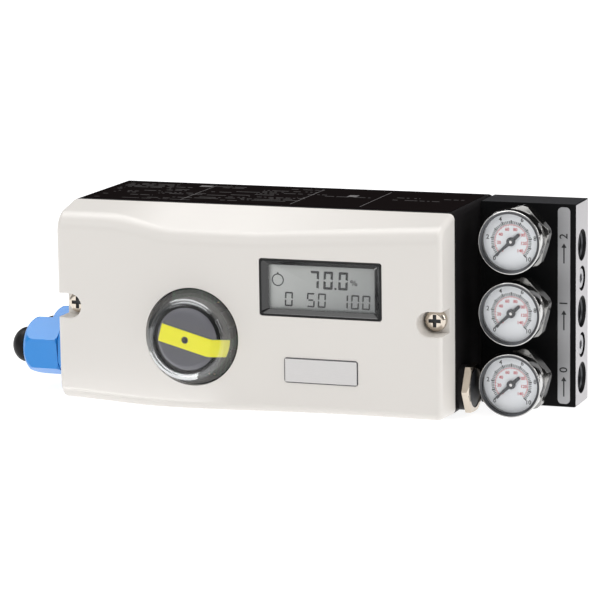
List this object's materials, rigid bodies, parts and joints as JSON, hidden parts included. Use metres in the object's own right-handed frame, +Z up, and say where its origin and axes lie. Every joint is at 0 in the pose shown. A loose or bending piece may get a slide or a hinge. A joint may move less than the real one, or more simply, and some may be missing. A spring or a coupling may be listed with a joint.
{
  "type": "valve positioner",
  "caption": "Electro-pneumatic valve positioner: black cast housing, white cover with indicator window and display, gauge block with pressure gauges, blue cable glands.",
  "frame": {"origin": "feedback shaft axis on the back mounting face", "axes": "+X to the gauge block, +Y out of the back along the feedback shaft, +Z up"},
  "size_m": [0.2617, 0.113, 0.0927],
  "materials": {
    "casting_black": "fine satin powder coat",
    "cover_white": "smooth satin off-white",
    "label_film": "printed satin film",
    "rubber_black": "matt",
    "bronze": "turned",
    "steel": "turned and plated",
    "chrome": "bright plated",
    "nickel": "nickel plated",
    "aluminium_bare": "milled",
    "aluminium_black": "black anodised satin",
    "plate_silver": "fine brushed",
    "plastic_dark": "moulded",
    "plastic_grey": "moulded",
    "plastic_light": "moulded",
    "plastic_blue": "moulded satin",
    "terminal_green": "moulded",
    "board_green": "solder mask",
    "stripe_yellow": "printed",
    "clear": "clear",
    "display_grey": "reflective display",
    "dial_white": "matt print",
    "needle_dark": "matt"
  },
  "bodies": {
    "base": {"housing": "casting_black", "cover_gasket": "rubber_black", "top_label": "label_film", "shaft_bush": "bronze", "shaft_seal": "rubber_black", "sensor_housing": "plastic_dark", "main_board": "board_green", "board_screws": "steel", "display_holder": "plastic_dark", "display_glass": "display_grey", "button_switches": "plastic_dark", "terminal_block": "terminal_green", "terminal_screws": "steel", "pneumatic_module": "plastic_dark", "manifold": "aluminium_bare", "gland_seals": "rubber_black", "vent_body": "nickel", "vent_filter": "plastic_dark", "gauge_block": "aluminium_black", "port_strip": "plate_silver", "block_screws": "steel", "block_rings": "rubber_black", "pressure_tubes": "bronze", "gland_body_front": "plastic_blue", "gland_nut_front": "plastic_blue", "gland_plug_front": "rubber_black", "gland_body_rear": "plastic_blue", "gland_nut_rear": "plastic_blue", "gland_plug_rear": "rubber_black", "gauge_socket_1": "nickel", "gauge_case_1": "chrome", "gauge_dial_1": "dial_white", "gauge_crystal_1": "clear", "gauge_socket_2": "nickel", "gauge_case_2": "chrome", "gauge_dial_2": "dial_white", "gauge_crystal_2": "clear", "gauge_socket_3": "nickel", "gauge_case_3": "chrome", "gauge_dial_3": "dial_white", "gauge_crystal_3": "clear"},
    "cover": {"front_cover": "cover_white", "cover_screws": "steel", "indicator_window": "clear", "window_seal": "rubber_black", "display_frame": "plastic_dark", "display_pane": "clear", "name_plate": "plate_silver"},
    "shaft": {"feedback_shaft": "steel", "sensor_rotor": "plastic_grey", "indicator_cup": "plastic_grey", "indicator_stripe": "stripe_yellow", "indicator_screw": "steel"},
    "needle_1": {"gauge_needle_1": "needle_dark"},
    "needle_2": {"gauge_needle_2": "needle_dark"},
    "needle_3": {"gauge_needle_3": "needle_dark"},
    "mode_button": {"button_mode": "plastic_light"},
    "enter_button": {"button_enter": "plastic_light"},
    "up_button": {"button_up": "plastic_light"},
    "down_button": {"button_down": "plastic_light"}
  },
  "joints": [
    {"name": "cover_pull", "type": "slide", "parent": "base", "child": "cover", "axis": [0, -1, 0], "range_m": [0, 0.08]},
    {"name": "shaft_turn", "type": "hinge", "parent": "base", "child": "shaft", "pos_m": [0, 0, 0], "axis": [0, 1, 0], "range_deg": [-74, 40]},
    {"name": "needle_turn_1", "type": "hinge", "parent": "base", "child": "needle_1", "pos_m": [0.13725, -0.0474, 0.0433], "axis": [0, 1, 0], "range_deg": [0, 270], "stiffness_Nm_per_rad": 0.0001},
    {"name": "needle_turn_2", "type": "hinge", "parent": "base", "child": "needle_2", "pos_m": [0.13725, -0.0474, 0.0116], "axis": [0, 1, 0], "range_deg": [0, 270], "stiffness_Nm_per_rad": 0.0001},
    {"name": "needle_turn_3", "type": "hinge", "parent": "base", "child": "needle_3", "pos_m": [0.13725, -0.0474, -0.0201], "axis": [0, 1, 0], "range_deg": [0, 270], "stiffness_Nm_per_rad": 0.0001},
    {"name": "mode_press", "type": "slide", "parent": "base", "child": "mode_button", "axis": [0, 1, 0], "range_m": [0, 0.0008], "stiffness_N_per_m": 400},
    {"name": "enter_press", "type": "slide", "parent": "base", "child": "enter_button", "axis": [0, 1, 0], "range_m": [0, 0.0008], "stiffness_N_per_m": 400},
    {"name": "up_press", "type": "slide", "parent": "base", "child": "up_button", "axis": [0, 1, 0], "range_m": [0, 0.0008], "stiffness_N_per_m": 400},
    {"name": "down_press", "type": "slide", "parent": "base", "child": "down_button", "axis": [0, 1, 0], "range_m": [0, 0.0008], "stiffness_N_per_m": 400}
  ]
}
